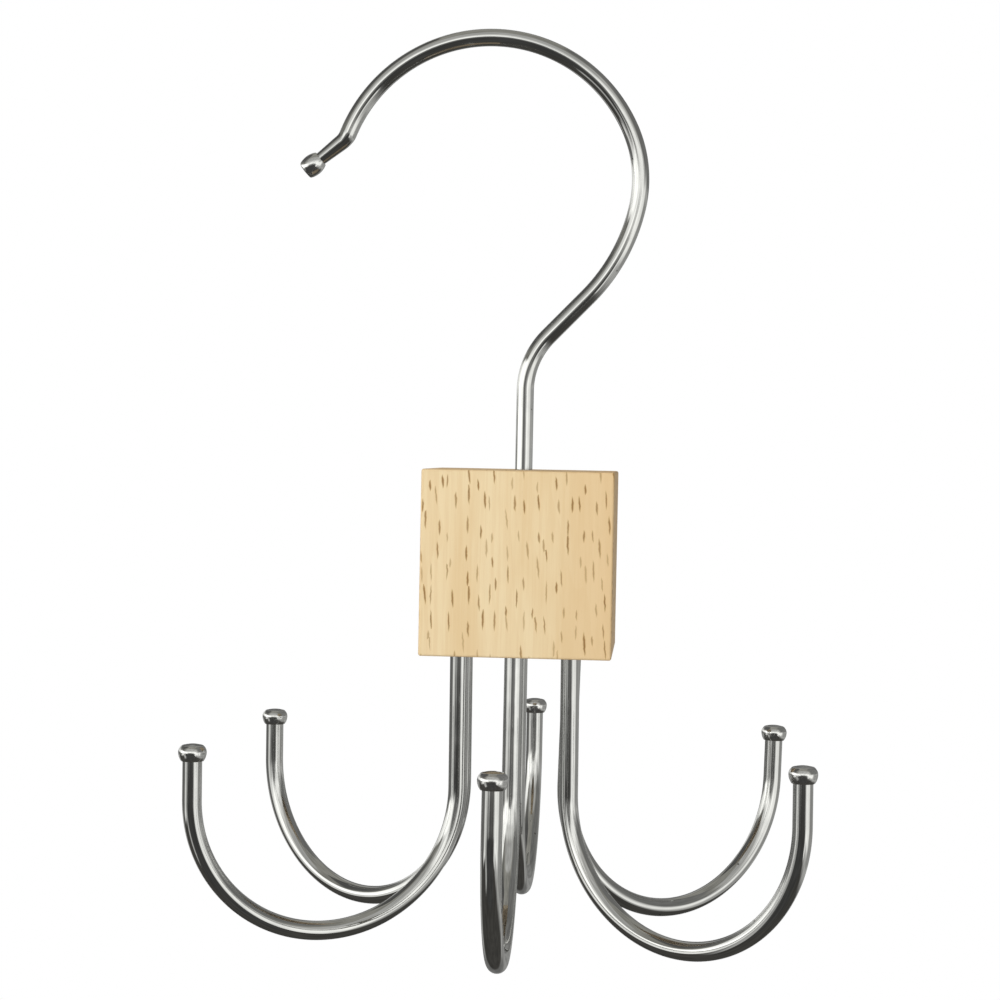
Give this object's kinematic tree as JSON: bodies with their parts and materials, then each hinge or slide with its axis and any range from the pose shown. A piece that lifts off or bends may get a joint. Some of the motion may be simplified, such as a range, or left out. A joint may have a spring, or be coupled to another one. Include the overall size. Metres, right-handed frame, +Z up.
{
  "type": "multi-hook hanger",
  "caption": "Open wire hook on a swivel carrying a square wood block, with capped J-shaped wire hooks pointing out all round from the block's underside.",
  "frame": {"origin": "on the swivel axis, where that axis meets the inside surface of the hanging hook's loop, at the place where a rail carries the hanger", "axes": "+Z up along the hanging hook's stem, which is the swivel axis; -Y is the front; +X is to the right in the front view, and the hanging hook's open tip points towards -X"},
  "size_m": [0.129, 0.1476, 0.1943],
  "materials": {
    "chrome_wire": "bright chrome plate over drawn steel wire, with fine long drawing marks",
    "zinc_steel": "dull zinc plate",
    "beech_wood": "sanded light beech with short dark ray flecks, thin matt lacquer"
  },
  "bodies": {
    "hanging_hook_body": {"hanging_hook": "chrome_wire", "hanging_hook_cap": "chrome_wire", "swivel_washer": "zinc_steel", "swivel_nut": "zinc_steel"},
    "block_body": {"wood_block": "beech_wood", "front_hook": "chrome_wire", "front_hook_cap": "chrome_wire", "front_right_hook": "chrome_wire", "front_right_hook_cap": "chrome_wire", "rear_right_hook": "chrome_wire", "rear_right_hook_cap": "chrome_wire", "rear_hook": "chrome_wire", "rear_hook_cap": "chrome_wire", "rear_left_hook": "chrome_wire", "rear_left_hook_cap": "chrome_wire", "front_left_hook": "chrome_wire", "front_left_hook_cap": "chrome_wire"}
  },
  "joints": [
    {"name": "block_swivel", "type": "hinge", "parent": "hanging_hook_body", "child": "block_body", "pos_m": [0, 0, -0.08938], "axis": [0, 0, 1], "continuous": true}
  ]
}
